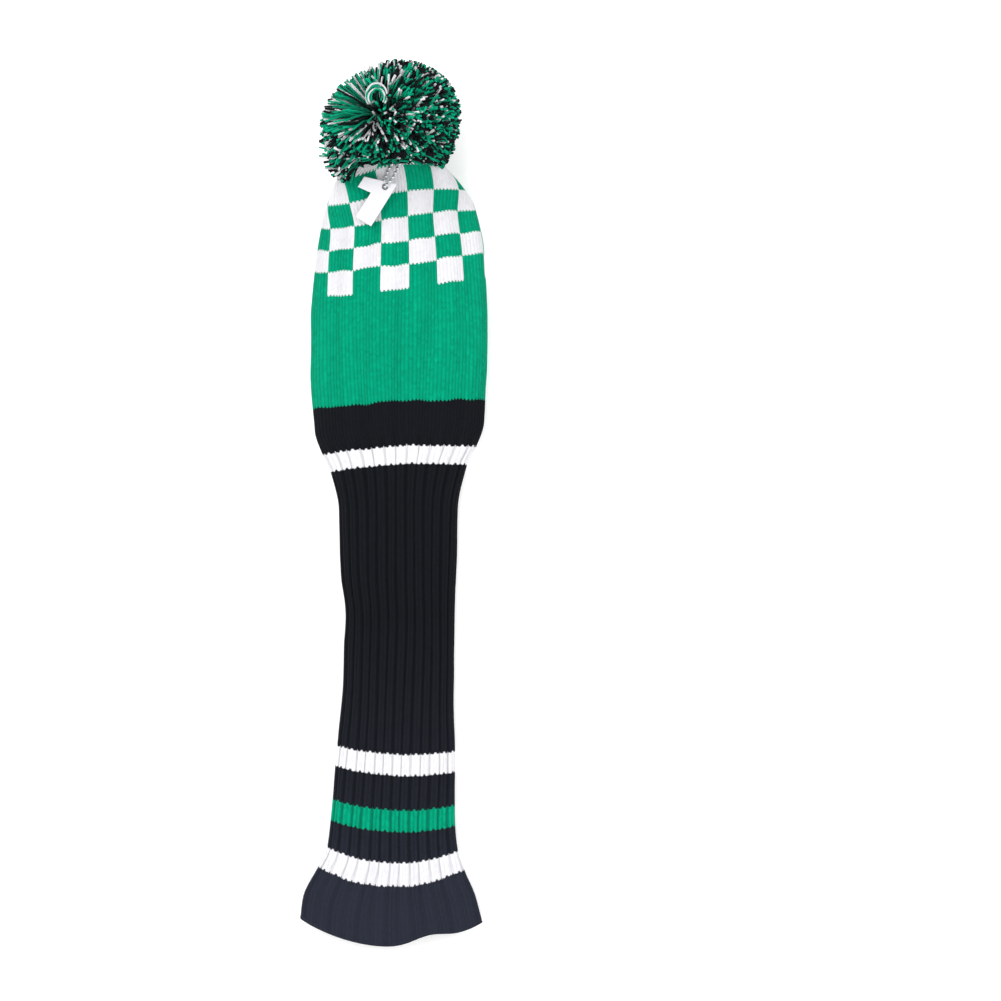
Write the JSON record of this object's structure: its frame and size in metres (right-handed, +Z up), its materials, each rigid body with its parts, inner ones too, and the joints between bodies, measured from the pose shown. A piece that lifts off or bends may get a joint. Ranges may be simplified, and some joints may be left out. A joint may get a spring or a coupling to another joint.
{
  "type": "driver head cover",
  "caption": "Knitted golf driver head cover with a long ribbed neck, flared cuff, checkered head, yarn pom-pom and a number tag on a ball chain.",
  "frame": {"origin": "under the middle of the whole object, on the surface that it lies on", "axes": "+Y along the sleeve from the cuff to the pom-pom, +Z up out of the surface, +X to the right seen from above with the pom-pom away from the viewer"},
  "size_m": [0.1084, 0.509, 0.077],
  "materials": {
    "green_yarn": "knitted acrylic yarn, matt",
    "green_and_white_yarn": "knitted acrylic yarn in two colours, matt",
    "white_yarn": "knitted acrylic yarn, matt",
    "black_yarn": "knitted acrylic yarn, matt",
    "navy_yarn": "knitted acrylic yarn, matt",
    "lining_yarn": "fine knitted lining, matt",
    "pom_pom_yarn": "cut yarn strands in three colours",
    "white_plastic": "satin moulded plastic",
    "chain_steel": "nickel-plated ball chain"
  },
  "bodies": {
    "head": {"neck_rib_top": "black_yarn", "upper_white_stripe": "white_yarn", "shoulder_band": "black_yarn", "green_band": "green_yarn", "checker_band": "green_and_white_yarn", "head_lining": "lining_yarn", "crown_gather_yarn": "black_yarn"},
    "neck": {"neck_rib_middle": "black_yarn"},
    "cuff": {"neck_rib_lower": "black_yarn", "neck_white_stripe": "white_yarn", "stripe_spacer_upper": "black_yarn", "green_stripe": "green_yarn", "stripe_spacer_lower": "black_yarn", "cuff_white_stripe": "white_yarn", "flared_cuff": "navy_yarn", "cuff_bind_off": "navy_yarn"},
    "tie": {"pom_tie": "black_yarn"},
    "pom": {"pom_pom": "pom_pom_yarn"},
    "chain": {"ball_chain": "chain_steel", "chain_connector": "chain_steel"},
    "tag": {"number_tag": "white_plastic"}
  },
  "joints": [
    {"name": "neck_bend", "type": "hinge", "parent": "head", "child": "neck", "pos_m": [0.00287, -0.02935, 0.0075], "axis": [0, 0, 1], "range_deg": [-15, 15]},
    {"name": "neck_fold", "type": "hinge", "parent": "neck", "child": "cuff", "pos_m": [0.00327, -0.09435, 0.015], "axis": [-1, 0, 0], "range_deg": [0, 70]},
    {"name": "pom_tilt", "type": "hinge", "parent": "head", "child": "tie", "pos_m": [-0.00223, 0.20395, 0.0326], "axis": [1, 0, 0], "range_deg": [0, 10]},
    {"name": "pom_spin", "type": "hinge", "parent": "tie", "child": "pom", "pos_m": [-0.00223, 0.21609, 0.03852], "axis": [0, 0.8988, 0.4384], "range_deg": [-90, 90]},
    {"name": "chain_swing", "type": "hinge", "parent": "head", "child": "chain", "pos_m": [-0.00223, 0.20845, 0.03479], "axis": [0, 0, 1], "range_deg": [-8, 8]},
    {"name": "tag_swing", "type": "hinge", "parent": "chain", "child": "tag", "pos_m": [-0.00418, 0.18243, 0.03374], "axis": [-0.0748, -0.1174, 0.9903], "range_deg": [-15, 30]}
  ]
}
